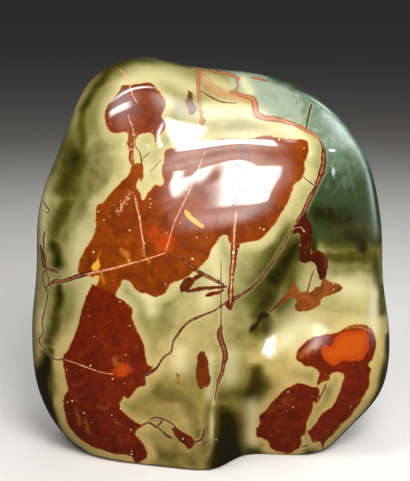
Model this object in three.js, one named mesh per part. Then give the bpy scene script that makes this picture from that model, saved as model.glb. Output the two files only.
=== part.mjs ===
// A freeform of polychrome jasper: one stone, ground to soft lobes and hollows, polished all over and
// sawn flat underneath so that it stands on edge.
// Millimetres, +Z up. The origin is on the floor under the middle of the stone.
// Its show face looks along -Y.
import * as THREE from "three";
import { mergeVertices } from "three/addons/utils/BufferGeometryUtils.js";

// Driving dimensions
const WIDTH = 150;
const HEIGHT = 162;
const FRONT_DEPTH = 42;
const BACK_DEPTH = 39;

// How square the stone is from face to face: 2 is an ellipse, and a larger number has a flatter face
// and a tighter edge.
const FACE_SQUARENESS = 2.7;
// Share of its depth that the stone loses from its middle to its top.
const TOP_TAPER = 0.3;
// Squares along each side of the six-sided net that is stretched over the stone.
const NET_SQUARES = 26;
// Height of the point that the outline is measured round, as a share of the height.
const HEART_HEIGHT = 0.46;
const OUTLINE_SAMPLES = 720;
const EDGE_SEARCH_STEPS = 40;
// Swells and hollows fade in between these shares of the full thickness, so the outline stays plain.
const RELIEF_STARTS = 0.1;
const RELIEF_IS_WHOLE = 0.75;
const JASPER_COLOUR = 0x8d8752;
const POLISHED = 0.08;

// The stone's outline from the front, clockwise from the top: x as a share of the width,
// z as a share of the height. The stretch below z = 0 is what the saw took off.
const OUTLINE = [
  [-0.2, 1.0],
  [-0.04, 0.974],
  [0.16, 0.952],
  [0.31, 0.885],
  [0.42, 0.758],
  [0.465, 0.6],
  [0.476, 0.44],
  [0.5, 0.27],
  [0.482, 0.15],
  [0.4, 0.055],
  [0.28, -0.05],
  [0.0, -0.15],
  [-0.28, -0.07],
  [-0.425, 0.035],
  [-0.487, 0.15],
  [-0.5, 0.3],
  [-0.483, 0.46],
  [-0.47, 0.63],
  [-0.405, 0.79],
  [-0.325, 0.945],
];

// Swells (rise above 0) and hollows (rise below 0) of a face, in millimetres. "at" is the middle of each,
// and "reach" is how far it spreads to its left, to its right, and up and down. Both are shares of the
// width across and of the height upwards. "turn" leans it clockwise, in degrees.
const SHOW_FACE = [
  { name: "prow beside the hollow", at: [0.0, 0.03], reach: [0.08, 0.05, 0.17], turn: 3, rise: 5 },
  { name: "hollow at the foot", at: [0.1, 0.03], reach: [0.04, 0.11, 0.12], turn: 8, rise: -11 },
  { name: "valley above the hollow", at: [0.16, 0.47], reach: [0.05, 0.08, 0.13], turn: 26, rise: -4 },
  { name: "thumb print", at: [0.17, 0.37], reach: [0.08, 0.12, 0.055], turn: -10, rise: -6 },
  { name: "lower right lobe", at: [0.33, 0.2], reach: [0.12, 0.13, 0.15], turn: 0, rise: 4.5 },
  { name: "waist over the lobe", at: [0.42, 0.46], reach: [0.13, 0.12, 0.08], turn: -8, rise: -4 },
  { name: "right flank", at: [0.42, 0.68], reach: [0.09, 0.1, 0.2], turn: -8, rise: -7 },
  { name: "dish in the upper face", at: [0.06, 0.735], reach: [0.15, 0.14, 0.045], turn: -4, rise: -2 },
  { name: "left lobe", at: [-0.22, 0.2], reach: [0.16, 0.18, 0.22], turn: 0, rise: 5 },
  { name: "left flank", at: [-0.38, 0.52], reach: [0.07, 0.05, 0.24], turn: 6, rise: -3 },
];
const BACK_FACE = [
  { name: "upper hollow", at: [-0.1, 0.68], reach: [0.17, 0.17, 0.11], turn: 30, rise: -5 },
  { name: "cross ridge", at: [0.08, 0.47], reach: [0.24, 0.24, 0.06], turn: -24, rise: 4 },
  { name: "lower hollow", at: [0.16, 0.24], reach: [0.12, 0.12, 0.1], turn: -15, rise: -6 },
  { name: "lower left lobe", at: [-0.2, 0.2], reach: [0.15, 0.15, 0.13], turn: 0, rise: 4 },
];

const heart = new THREE.Vector2(0, HEART_HEIGHT * HEIGHT);

// The outline as [bearing round the heart, distance from it], sorted by bearing.
function outlineByBearing() {
  const corners = OUTLINE.map(([x, z]) => new THREE.Vector3(x * WIDTH, 0, z * HEIGHT));
  const curve = new THREE.CatmullRomCurve3(corners, true, "centripetal");
  return curve
    .getPoints(OUTLINE_SAMPLES)
    .map((p) => [Math.atan2(p.z - heart.y, p.x - heart.x), Math.hypot(p.x - heart.x, p.z - heart.y)])
    .sort((a, b) => a[0] - b[0]);
}

const outline = outlineByBearing();

// Distance from the heart to the outline along a bearing, between the two nearest samples.
function outlineRadius(bearing) {
  let high = outline.findIndex(([b]) => b > bearing);
  if (high < 0) high = 0;
  const low = (high + outline.length - 1) % outline.length;
  const turn = (angle) => THREE.MathUtils.euclideanModulo(angle, 2 * Math.PI);
  const span = turn(outline[high][0] - outline[low][0]);
  const share = span > 0 ? turn(bearing - outline[low][0]) / span : 0;
  return THREE.MathUtils.lerp(outline[low][1], outline[high][1], share);
}

// How far the swells and hollows of a face lift it at (x, z).
function relief(features, x, z) {
  return features.reduce((sum, { at, reach, turn, rise }) => {
    const away = new THREE.Vector2(x - at[0] * WIDTH, z - at[1] * HEIGHT);
    away.rotateAround(new THREE.Vector2(), THREE.MathUtils.degToRad(turn));
    const across = away.x / (WIDTH * (away.x < 0 ? reach[0] : reach[1]));
    const along = away.y / (HEIGHT * reach[2]);
    return sum + rise * Math.exp(-(across * across + along * along) / 2);
  }, 0);
}

// The stone's surface before sawing, in the direction d on a unit ball.
function surface(d) {
  const flat = Math.hypot(d.x, d.z);
  const deep = Math.abs(d.y);
  const sum = Math.pow(flat, FACE_SQUARENESS) + Math.pow(deep, FACE_SQUARENESS);
  const square = Math.pow(sum, -1 / FACE_SQUARENESS);
  const bearing = Math.atan2(d.z, d.x);
  const radius = outlineRadius(bearing) * flat * square;
  const x = heart.x + radius * Math.cos(bearing);
  const z = heart.y + radius * Math.sin(bearing);
  const thickness = deep * square;
  const taper = 1 - TOP_TAPER * THREE.MathUtils.smoothstep(z, heart.y, HEIGHT);
  const front = d.y < 0;
  const depth = thickness * taper * (front ? FRONT_DEPTH : BACK_DEPTH);
  const fade = THREE.MathUtils.smoothstep(thickness, RELIEF_STARTS, RELIEF_IS_WHOLE);
  const lift = relief(front ? SHOW_FACE : BACK_FACE, x, z) * fade;
  return new THREE.Vector3(x, (front ? -1 : 1) * (depth + lift), z);
}

// The direction with this bearing round Z and this elevation.
function direction(bearing, elevation) {
  const level = Math.cos(elevation);
  return new THREE.Vector3(level * Math.cos(bearing), level * Math.sin(bearing), Math.sin(elevation));
}

// The elevation at which the surface crosses the floor on a bearing round Z: the edge of the sawn foot.
function footElevation(bearing) {
  let below = -Math.PI / 2;
  let above = 0;
  for (let i = 0; i < EDGE_SEARCH_STEPS; i += 1) {
    const middle = (below + above) / 2;
    if (surface(direction(bearing, middle)).z < 0) below = middle;
    else above = middle;
  }
  return above;
}

// A point of the net, on a cube from -1 to 1, carried to the stone.
// The cube's underside becomes the sawn foot.
function onStone(net) {
  const spread = (v) => Math.tan((v * Math.PI) / 4);
  const cube = new THREE.Vector3(spread(net.x), spread(net.y), spread(net.z));
  const bearing = Math.atan2(cube.y, cube.x);
  if (net.z === -1) {
    const edge = surface(direction(bearing, footElevation(bearing)));
    const share = Math.max(Math.abs(net.x), Math.abs(net.y));
    return new THREE.Vector3(edge.x * share, edge.y * share, 0);
  }
  let elevation = Math.atan2(cube.z, Math.hypot(cube.x, cube.y));
  if (elevation < 0) {
    const cubeEdge = -Math.atan(Math.max(Math.abs(Math.cos(bearing)), Math.abs(Math.sin(bearing))));
    elevation *= footElevation(bearing) / cubeEdge;
  }
  return surface(direction(bearing, elevation));
}

function jasperGeometry() {
  const net = new THREE.BoxGeometry(2, 2, 2, NET_SQUARES, NET_SQUARES, NET_SQUARES);
  net.deleteAttribute("normal");
  net.deleteAttribute("uv");
  const stone = mergeVertices(net);
  const points = stone.getAttribute("position");
  for (let i = 0; i < points.count; i += 1) {
    const p = onStone(new THREE.Vector3().fromBufferAttribute(points, i));
    points.setXYZ(i, p.x, p.y, p.z);
  }
  stone.computeBoundingBox();
  const middle = stone.boundingBox.getCenter(new THREE.Vector3());
  stone.translate(-middle.x, -middle.y, 0);
  stone.computeVertexNormals();
  return stone;
}

const jasper = new THREE.Mesh(
  jasperGeometry(),
  new THREE.MeshStandardMaterial({ color: JASPER_COLOUR, roughness: POLISHED, metalness: 0 }),
);
jasper.name = "jasper";

const freeform = new THREE.Group();
freeform.add(jasper);
export default freeform;
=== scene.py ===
# %% [markdown]
# # A polished freeform of polychrome jasper
# The stone is one piece: a cream to olive ground with red-brown patches, orange cores and fine veins,
# ground to soft lobes and polished until it mirrors the lamps. This lesson takes the plain solid of the
# stone, makes its skin fine enough to mirror well, draws the markings on it and lights it. Everything is
# in metres, +Z is up, and the show face looks along -Y.

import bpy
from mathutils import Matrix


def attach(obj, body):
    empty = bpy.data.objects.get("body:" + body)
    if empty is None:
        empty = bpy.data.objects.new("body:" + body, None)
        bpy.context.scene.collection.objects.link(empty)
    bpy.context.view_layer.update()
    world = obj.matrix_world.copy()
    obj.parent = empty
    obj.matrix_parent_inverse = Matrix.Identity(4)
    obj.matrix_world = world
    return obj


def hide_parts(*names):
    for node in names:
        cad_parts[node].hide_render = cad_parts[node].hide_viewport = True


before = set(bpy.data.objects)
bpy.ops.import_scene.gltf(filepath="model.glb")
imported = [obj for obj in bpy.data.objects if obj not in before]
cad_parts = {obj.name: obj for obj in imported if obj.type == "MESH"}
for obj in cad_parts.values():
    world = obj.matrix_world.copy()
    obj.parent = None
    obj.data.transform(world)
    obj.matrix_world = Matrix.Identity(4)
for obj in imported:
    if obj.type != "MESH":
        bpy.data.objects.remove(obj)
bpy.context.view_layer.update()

# %% [markdown]
# ## The camera
# The photograph was taken from the front, a little above the stone's middle. A long lens keeps the
# stone's proportions. The camera comes first, because the markings are drawn in the photograph's own
# pixels and are laid on the stone through this same lens.

# %% the camera
import math
import bpy
import numpy as np
from mathutils import Quaternion, Vector

PHOTO_WIDTH, PHOTO_HEIGHT = 410, 481
LENS = 93.6
SENSOR = 36.0
DISTANCE = 0.52
LOOKS_DOWN = math.radians(12)
AIM = Vector((-0.0025, 0.0, 0.0865))

towards_camera = Vector((0, -math.cos(LOOKS_DOWN), math.sin(LOOKS_DOWN)))
camera = bpy.data.objects.new("camera", bpy.data.cameras.new("camera"))
camera.data.lens = LENS
camera.data.sensor_width = SENSOR
camera.location = AIM + towards_camera * DISTANCE
camera.rotation_euler = (math.pi / 2 - LOOKS_DOWN, 0, 0)
bpy.context.scene.collection.objects.link(camera)
bpy.context.scene.camera = camera
print("camera at", tuple(round(v, 4) for v in camera.location))


# %% from the stone to the photograph
def in_photo(points):
    """Where points of the stone, in metres, lie in the photograph, in pixels from its top left corner."""
    eye = np.array(camera.location)
    forward = -np.array(towards_camera)
    right = np.array((1.0, 0.0, 0.0))
    up = np.cross(right, forward)
    away = points - eye
    scale = LENS / SENSOR * PHOTO_HEIGHT / (away @ forward)
    return np.stack([PHOTO_WIDTH / 2 + scale * (away @ right), PHOTO_HEIGHT / 2 - scale * (away @ up)], 1)


FACE_DEPTH = 0.04
MM_PER_PIXEL = 1000 * (DISTANCE - FACE_DEPTH) * SENSOR / (LENS * PHOTO_HEIGHT)
print("one pixel of the photograph is", round(MM_PER_PIXEL, 3), "mm on the show face")

# %% [markdown]
# ## A skin that can mirror
# The solid is faceted, and a mirror finish shows every facet. Blender's own subdivision modifier is made
# for four-sided faces and leaves ripples on triangles. There is a rule made for triangles: each edge gets
# a new point, pulled a little towards the triangles on both sides, and each old point moves towards its
# neighbours. It is short enough to write out. Here it can also cut only some of the triangles, so the
# skin can be finest along the edges of the markings and plain elsewhere.

# %% weld the solid's triangles
import bmesh

WELD = 1e-6
welded = bmesh.new()
welded.from_mesh(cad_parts["jasper"].data)
bmesh.ops.remove_doubles(welded, verts=welded.verts, dist=WELD)
welded.verts.index_update()
skin = np.array([v.co for v in welded.verts])
triangles = np.array([[v.index for v in f.verts] for f in welded.faces])
welded.free()
print("welded:", len(skin), "points,", len(triangles), "triangles")


# %% which edges are cut
def with_neighbours(triangles, chosen):
    """The chosen triangles, and every other that would have two or more of its edges cut by them."""
    ends = np.sort(triangles[:, [0, 1, 1, 2, 2, 0]].reshape(-1, 2), axis=1)
    edges, edge_of = np.unique(ends, axis=0, return_inverse=True)
    edge_of = edge_of.reshape(-1, 3)
    while True:
        cut = np.zeros(len(edges), bool)
        cut[edge_of[chosen].ravel()] = True
        grown = chosen | (cut[edge_of].sum(1) >= 2)
        if (grown == chosen).all():
            return edges, edge_of, cut, chosen
        chosen = grown


every_triangle = np.ones(len(triangles), bool)
print("edges of the solid:", len(with_neighbours(triangles, every_triangle)[0]))


# %% the rule for triangles
def finer(points, triangles, chosen):
    """Cuts the chosen triangles in four, and halves the ones beside them so that no gap opens."""
    edges, edge_of, cut, chosen = with_neighbours(triangles, chosen)
    across = np.zeros((len(edges), 3))
    np.add.at(across, edge_of, points[triangles[:, [2, 0, 1]]])
    middles = 3 / 8 * points[edges].sum(1) + 1 / 8 * across
    around = np.zeros_like(points)
    np.add.at(around, edges, points[edges[:, ::-1]])
    valence = np.bincount(edges.ravel(), minlength=len(points))[:, None]
    pull = (5 / 8 - (3 / 8 + 1 / 4 * np.cos(2 * np.pi / valence)) ** 2) / valence
    smoothed = points * (1 - valence * pull) + around * pull
    whole = np.ones(len(points), bool)
    whole[triangles[~chosen].ravel()] = False
    moved = np.where(whole[:, None], smoothed, points)
    number = np.full(len(edges), -1)
    number[cut] = len(points) + np.arange(cut.sum())
    a, b, c = triangles[chosen].T
    ab, bc, ca = number[edge_of[chosen]].T
    pieces = [(a, ab, ca), (b, bc, ab), (c, ca, bc), (ab, bc, ca)]
    rest, rest_edges = triangles[~chosen], edge_of[~chosen]
    pieces.append(tuple(rest[~cut[rest_edges].any(1)].T))
    for side in range(3):
        halved = cut[rest_edges[:, side]]
        first, second, third = np.roll(rest[halved], -side, axis=1).T
        middle = number[rest_edges[halved, side]]
        pieces += [(first, middle, third), (middle, second, third)]
    return np.concatenate([moved, middles[cut]]), np.concatenate([np.stack(p, 1) for p in pieces])


skin, triangles = finer(skin, triangles, every_triangle)
print("cut once:", len(triangles), "triangles")


# %% the way the skin faces
def normals_of(points, triangles):
    """The skin's outward direction at each point."""
    corners = points[triangles]
    tilt = np.cross(corners[:, 1] - corners[:, 0], corners[:, 2] - corners[:, 0])
    total = np.zeros_like(points)
    np.add.at(total, triangles, tilt[:, None])
    return total / np.linalg.norm(total, axis=1, keepdims=True)


print("points that face the camera:", (normals_of(skin, triangles) @ np.array(towards_camera) > 0).sum())

# %% [markdown]
# ## Drawing with distances
# A painter would put the markings in an image. Here each one is a few points read from the photograph,
# joined by a smooth curve. For every point of the skin the script works out how far it is from each
# curve. A distance is a better thing to store than a colour: it changes evenly across a triangle, so the
# material can find the exact edge inside it, roughen it with noise, and put a rim along it. Patches keep
# a distance that is negative inside. A vein is thinner than a triangle, so it keeps which side of its
# line a point lies on as well.


# %% a smooth curve through knots
def smooth_curve(knots, closed, steps=4):
    """Points along a curve that runs smoothly through the knots. Columns after the second are carried along."""
    knots = np.array(knots, float)
    before, after = np.roll(knots, 1, 0), np.roll(knots, -1, 0)
    beyond = np.roll(knots, -2, 0)
    if not closed:
        before[0], after[-1], beyond[-1], beyond[-2] = knots[0], knots[-1], knots[-1], knots[-1]
    t = np.linspace(0, 1, steps, endpoint=False)[:, None, None]
    curve = 0.5 * (2 * knots + (after - before) * t + (2 * before - 5 * knots + 4 * after - beyond) * t**2
                   + (3 * knots - before - 3 * after + beyond) * t**3)
    curve = curve.transpose(1, 0, 2)
    if closed:
        return curve.reshape(-1, knots.shape[1])
    return np.vstack([curve[:-1].reshape(-1, knots.shape[1]), knots[-1]])


SQUARE = [(0, 0), (10, 0), (10, 10), (0, 10)]
print("points on a smooth curve round a square:", len(smooth_curve(SQUARE, closed=True)))


# %% the nearest stretch of a curve
def along_segments(places, starts, ends):
    """For each place and its nearest segment: the distance, the segment, the share along it and the side."""
    run = ends - starts
    length2 = np.maximum((run**2).sum(1), 1e-9)
    from_start = places[:, None] - starts[None]
    share = np.clip((from_start * run).sum(2) / length2, 0, 1)
    gap = from_start - share[..., None] * run
    distance = np.hypot(gap[..., 0], gap[..., 1])
    nearest = distance.argmin(1)
    row = np.arange(len(places))
    nearest_run, offset = run[nearest], from_start[row, nearest]
    side = np.sign(nearest_run[:, 0] * offset[:, 1] - nearest_run[:, 1] * offset[:, 0])
    return distance[row, nearest], nearest, share[row, nearest], side


def close_to(places, curve, reach):
    """Which places are within reach of the curve's own box."""
    low, high = curve[:, :2].min(0) - reach, curve[:, :2].max(0) + reach
    return ((places > low) & (places < high)).all(1)


FAR = 20.0
print("curves are followed up to", FAR, "pixels away")


# %% how far a place is from a patch
def patch_distance(places, knots):
    """How far places are outside a closed outline, in its own unit: negative inside."""
    curve = smooth_curve(knots, closed=True)
    found = np.full(len(places), FAR)
    near = close_to(places, curve, FAR)
    here = places[near]
    starts, ends = curve, np.roll(curve, -1, 0)
    distance = along_segments(here, starts, ends)[0]
    above = (starts[:, 1] > here[:, 1:2]) != (ends[:, 1] > here[:, 1:2])
    with np.errstate(divide="ignore", invalid="ignore"):
        slope = (ends[:, 0] - starts[:, 0]) / (ends[:, 1] - starts[:, 1])
    left = here[:, :1] < starts[:, 0] + slope * (here[:, 1:2] - starts[:, 1])
    inside = (above & left).sum(1) % 2 == 1
    found[near] = np.clip(np.where(inside, -distance, distance), -FAR, FAR)
    return found


print("from the middle of a square to its edge:", patch_distance(np.array([[5.0, 5.0]]), SQUARE))


# %% how far a place is from a vein
def vein_distances(places, veins):
    """For the nearest of several veins, given as (x, y, width) knots: the distance to its line with the side
    as its sign, the plain distance, and the vein's half width there."""
    sided, plain = np.full(len(places), FAR), np.full(len(places), FAR)
    half = np.zeros(len(places))
    for knots in veins:
        curve = smooth_curve(knots, closed=False)
        near = np.flatnonzero(close_to(places, curve, FAR))
        distance, nearest, share, side = along_segments(places[near], curve[:-1, :2], curve[1:, :2])
        width = curve[nearest, 2] * (1 - share) + curve[nearest + 1, 2] * share
        better = distance < plain[near]
        chosen = near[better]
        plain[chosen] = distance[better]
        sided[chosen] = (side * distance)[better]
        half[chosen] = width[better] / 2
    return sided, plain, half


LEVEL_VEIN = [(0, 0, 2), (10, 0, 2)]
print("beside a level vein:", vein_distances(np.array([[5.0, 3.0]]), [LEVEL_VEIN]))

# %% [markdown]
# ## The brown patches of the show face
# These are the stone's picture: a cap on a stem, a body with a great sail, a dress below it, and a
# mushroom and a leaf at the lower right. Each outline is a short list of photograph pixels, chosen at
# zoom, with only the points that its shape needs: the fine raggedness of the edge comes later, as noise.

# %% large patches
CAP = [
    (122, 85.5), (132, 85), (145, 82.7), (153.5, 84.6), (160, 93), (166, 102), (163.5, 111.7), (162, 117.3),
    (166.5, 126), (160, 135), (155, 146), (154, 136), (145.7, 133), (137.7, 136), (134.5, 148), (134, 158),
    (134.5, 165), (131.5, 165), (128.5, 158), (129, 149), (127, 144), (128.5, 138), (126, 132), (113, 133),
    (106, 125.7), (104.6, 117), (107.4, 105), (115.8, 95.8), (119.5, 90),
]
BODY_AND_SAIL = [
    (132, 166), (138, 163), (143, 166), (143.8, 172), (141.7, 181.5), (139, 179), (136, 186), (140, 193),
    (142.5, 199.6), (146.3, 195.8), (150.5, 188.8), (156, 185), (160.5, 186.3), (164, 181.7), (161.5, 172),
    (163.4, 161), (166, 149.5), (182, 147), (202, 142.5), (222, 139), (248, 139), (262, 136.3),
    (268.5, 135.5), (286, 139), (300.5, 139), (307.5, 142), (308.5, 153), (305, 163), (303.7, 175),
    (295, 184), (292, 192), (287.7, 203), (280.3, 214.5), (274.7, 224), (266.4, 234), (259, 240.3),
    (248, 242), (239.8, 244), (231, 243.5), (227, 236), (223.5, 235), (219.7, 237.5), (212.3, 247.7),
    (208.5, 258), (199, 267.5), (193, 272.5), (187, 276.5), (179, 281), (171, 283.7), (166, 291.6),
    (156.3, 297), (145, 292.8), (138, 291.6), (130.3, 282.6), (127, 280), (122.5, 281), (117, 291.6),
    (116, 296), (104, 296), (96, 287), (97.5, 283), (96, 278), (79.3, 273.5), (78.5, 264.4), (83.8, 251.4),
    (94, 234.4), (96, 227), (95.7, 218.5), (97.4, 204.4), (103.7, 202), (115, 188), (128, 175),
]
DRESS = [
    (92, 284), (97, 285.5), (104, 283), (112, 284), (117, 291.6), (116, 295.6), (124.6, 301), (133, 310),
    (132, 318), (137, 330.5), (143.5, 342.7), (146.3, 359.5), (149, 365), (153, 367), (146.3, 375),
    (145, 385), (138, 387.4), (132.3, 394.8), (127.7, 398.7), (123.5, 397), (120.4, 406), (129, 417),
    (140, 424.2), (144.2, 425), (135, 434), (143.6, 444), (147.6, 455.4), (144.7, 459.4), (135.7, 463.3),
    (130.6, 456), (115, 454.3), (100.5, 449.7), (87.5, 444.6), (75.6, 435), (67, 422.5), (63.7, 406.7),
    (62, 402), (65.4, 393), (67.7, 389), (64.3, 372.7), (62.3, 359), (68.4, 349), (75.4, 331.5),
    (80, 315.6), (86.6, 296), (89.4, 290),
]
MUSHROOM = [
    (296.4, 360.8), (296.4, 356), (299.3, 348), (305.2, 342), (313.3, 337), (325, 334), (336.7, 332.3),
    (343.7, 328.8), (349.5, 325.3), (357.7, 324), (365.8, 325.3), (371.7, 328.8), (374.6, 335),
    (375.8, 342), (375.2, 350.3), (372.8, 358.5), (368.2, 364.3), (371, 369), (370, 376), (368.8, 386.5),
    (364.7, 394.7), (358.8, 405), (351.8, 414.5), (342.5, 423.8), (332, 435.5), (325, 442.5), (323.8, 449),
    (321.5, 448.3), (320.3, 441.3), (312.2, 442.5), (309.8, 435.5), (305.8, 430.8), (311, 428.5),
    (316.8, 421.5), (321.5, 414), (329.7, 408), (335, 401.7), (339, 393.5), (341.3, 385.3), (343.7, 376),
    (340.8, 373), (335.5, 372.5), (329.7, 374.3), (329.7, 379.5), (323.8, 381.8), (319.2, 383.6),
    (316.8, 387.7), (318, 376), (318.6, 372.5), (314.5, 367.8), (305.2, 366), (301.7, 363.2),
]
LEAF = [
    (301.7, 383), (312.2, 386.5), (316.8, 386.5), (319.8, 390), (319.2, 394.7), (316.8, 402.8),
    (313.3, 402.8), (312.2, 412), (308, 419), (307, 427.3), (305.8, 433), (301.7, 436.7), (301.7, 443.7),
    (298.2, 448.3), (291, 453), (283, 453), (274.8, 450.7), (270, 447), (267.8, 441.3), (260.8, 437.3),
    (257.3, 437.8), (255.6, 433), (258.5, 425), (260.8, 422.7), (258.5, 416.8), (264.3, 411), (270, 404),
    (278.3, 395.8), (287.7, 387.7), (295.8, 384),
]
LARGE_PATCHES = (CAP, BODY_AND_SAIL, DRESS, MUSHROOM, LEAF)
print("large patches:", [len(outline) for outline in LARGE_PATCHES], "points")

# %% small patches
LEG = [
    (239.8, 244), (236.8, 254), (236.3, 264), (234, 280), (233.5, 291), (234, 303.7), (230, 311),
    (225.3, 306.5), (224.6, 302.5), (228.4, 299), (227.7, 290.7), (229.5, 272), (230.5, 253), (230.9, 244),
]
HOOK = [
    (181, 292.5), (180, 288), (181.5, 283), (185, 278.5), (189.5, 277.3), (193, 277), (196.5, 274.8),
    (201.5, 273.5), (203, 276), (197, 279.5), (193, 284), (190.5, 288), (187.5, 292), (184.5, 291),
]
ARM = [
    (186.5, 290.5), (196, 287.5), (212, 286), (226, 285.3), (226, 288), (213, 289.6), (200, 291),
    (187.5, 292.6),
]
SLIVER = [(204.5, 296), (209, 292.7), (216, 290.8), (224, 289.4), (222.5, 292), (217, 295), (209, 296.6)]
LENS_SPOT = [
    (203.7, 351), (207, 359), (208.8, 369), (210.2, 382), (207, 387), (203.7, 385.7), (201.4, 388.5),
    (198, 385), (195.7, 376), (196.3, 366), (198, 354.5),
]
WING = [
    (270, 311.6), (275.6, 308), (282, 304), (286.8, 300.4), (292.4, 297.6), (297, 300.4), (294.7, 305),
    (295.2, 309), (300.8, 311.6), (307.3, 311.6), (314, 308.3), (319.5, 304), (322.3, 298), (329.7, 295.7),
    (337.2, 292), (342.8, 289), (342.3, 286.4), (337.2, 283), (330.7, 281.7), (326, 279), (323.7, 280.3),
    (320.4, 285.5), (314.8, 287.3), (310, 292), (302.7, 292), (300, 293), (298, 289), (295.2, 284.5),
    (293.3, 281.3), (291.5, 283.6), (290, 290), (285, 294.8), (280.3, 300.4), (273.7, 308),
]
SNAKE = [
    (305.5, 211.7), (307.3, 219), (311, 224.8), (313.4, 230.4), (312, 236), (311.5, 243.5), (310.5, 250),
    (311, 254), (314, 251), (319.5, 250.5), (324, 253.7), (327.4, 259.3), (328, 267.7), (326.5, 276),
    (323.7, 279), (319.5, 279), (317.6, 271.5), (314.8, 264), (310, 261), (306.4, 263), (301.7, 263),
    (299, 259.3), (299, 251), (300.3, 243.5), (300.8, 237), (299, 233.7), (293.3, 233.7), (293, 230.4),
    (296, 224), (300.8, 216.4),
]
DARK_CRACK = [
    (262.7, 312), (269, 315), (266.4, 317.7), (262.7, 319.6), (259, 323.3), (256, 328), (250, 333),
    (249.6, 330.8), (252, 325), (256, 323.3), (257.5, 318.7), (259, 314),
]
RED_LENS = [
    (172, 428), (176.5, 428), (183.3, 432.7), (192.3, 437.8), (195, 441.8), (194.6, 444), (189.5, 448.6),
    (185.5, 446.3), (176.5, 437.3), (173, 431.6),
]
FUZZY_BLOB = [
    (188, 91), (192, 93), (193, 99), (193, 104), (197, 108), (195, 113), (191, 116), (188, 113), (187, 106),
    (185, 101), (187, 97),
]
AMBER_CLUMP = [(199, 108), (204, 112), (203, 116.5), (206, 121), (202.5, 126), (199.5, 122), (200, 115)]
OCHRE_CRUMB = [(176, 374.5), (179.5, 374), (180, 377), (178.5, 379), (180, 382.5), (176.5, 383), (177, 379)]
print("points in the wing and the snake:", len(WING), len(SNAKE))

# %% [markdown]
# ## Cores and inclusions
# Two patches have a glowing orange core with a firm edge, and others only glow softly. A few bars of
# ochre lie in the brown, and a salmon fold hangs from the top. What has an edge is an outline. A soft
# glow has none, so a round spot with a middle, its half sizes and a lean says enough for it.

# %% cores, bars and the fold
ORANGE_CORE = [
    (335, 338.7), (342.5, 332.8), (354, 331), (364.7, 331.7), (368.8, 337.5), (368.2, 348), (363.5, 358.5),
    (354, 360.8), (342.5, 360.8), (332, 365.5), (326, 359.7), (321.5, 352.7), (325, 345.7), (330.8, 346.8),
]
DRESS_CORE = [
    (122, 364), (127, 365), (129, 369), (127, 374), (122, 376.5), (117.5, 375), (117, 370), (119, 366.5),
]
OCHRE_BAR = [
    (183.5, 210.6), (187, 210), (191.5, 215), (197, 220.8), (204, 225.3), (202.8, 228), (195, 224),
    (187, 217.4),
]
OCHRE_NECK = [(98, 259), (99.5, 263), (99, 270), (93, 270.5), (92.3, 266.5), (95, 262.5)]
OCHRE_WAIST = [(94.5, 275.5), (99.5, 275.5), (98.5, 281), (95.5, 286), (94, 281)]
SALMON_FOLD = [
    (199, 70), (205, 72), (212, 80), (220, 87), (231, 91), (243, 93), (256, 99), (254, 105), (240, 102),
    (226, 100), (214, 95), (205, 87), (200, 79),
]
# x, y, half sizes to the left, right, up and down, lean clockwise in degrees, strength
SOFT_CORES = [
    (165, 243, 12, 12, 14, 14, 30, 0.8), (153, 234, 9, 9, 9, 9, 0, 0.7), (170, 250, 14, 14, 8, 8, 0, 0.4),
    (285, 440, 9, 9, 7, 7, 0, 0.35), (276, 412, 8, 8, 5, 5, -40, 0.25), (205, 195, 16, 16, 12, 12, 0, 0.3),
    (122, 370, 10, 10, 7, 8, 0, 0.8),
]
print("soft cores:", len(SOFT_CORES))

# %% [markdown]
# ## The green side
# The top and the right side of the stone are a cloudy green, pale at the top and nearly black down the
# flank. A vein parts the green from the cream, so the border is an outline along that vein. Low on the
# flank the green dies away with no border, and its darker clouds are drawn as soft brush strokes.

# %% the green side's border and clouds
RIBBON_SIDE = [
    (228, 60), (229, 78), (233, 88), (243, 95), (253, 99), (255, 107), (256, 114), (262, 118), (275, 119.5),
    (286, 122), (300, 127.5), (312, 133), (319, 139), (323, 150), (323, 162), (322, 171), (318.5, 180),
    (315, 187.5), (310, 198), (306, 206), (303, 214), (307, 221), (312, 230), (311, 243), (311, 252),
    (318, 252), (326, 258), (328, 268), (328, 300), (430, 300), (430, 60),
]
GREEN_ENDS_AT = 242
# the green is deeper down the flank: the heights in the photograph where that starts and where it is whole
DEEPER_FLANK = (95, 208)
# painted dark reflection along the top right rim
DARK_RIM_REFLECTION = [(270, 60), (330, 70), (380, 120), (362, 146), (345, 124), (322, 104), (296, 88), (272, 80)]
# strength, then the stroke's knots: x, y and half width
FLANK_STROKES = [
    (0.8, [(318, 212, 9), (336, 218, 13), (350, 224, 13), (360, 236, 12), (361, 248, 9)]),
    (0.3, [(296, 90, 6), (312, 108, 8), (330, 125, 8)]),
]
print("the green side's border has", len(RIBBON_SIDE), "points")

# %% [markdown]
# ## Clouds in the ground
# Where the ground is clear the light sinks into it and it looks olive, and where it is milky it looks
# cream. Some of the olive is painted shade, in the hollow right of the prow, along the bottom edge and
# towards the foot, and some is painted dark reflection, down the valley across the face and along the
# rims. Some of the pale is painted sheen, across the top of the face, round the thumb print and down the
# left rim, with a painted highlight on the prow's crest. Noise alone would put these clouds anywhere. Soft
# strokes put them where the photograph has them, and the noise is left to fray their edges.

# %% olive clouds and painted shade
# painted shade: the dark hollow right of the prow, where the foot turns under
HOLLOW_SHADE = [
    (214, 410), (222, 403), (236, 411), (242, 424), (243, 440), (247, 470), (207, 474), (211, 440),
    (213.5, 424),
]
# painted shade: the ground is darker towards the foot: strength, then where that starts and where it is whole
FOOT_SHADE = (0.36, 390, 455)
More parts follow.
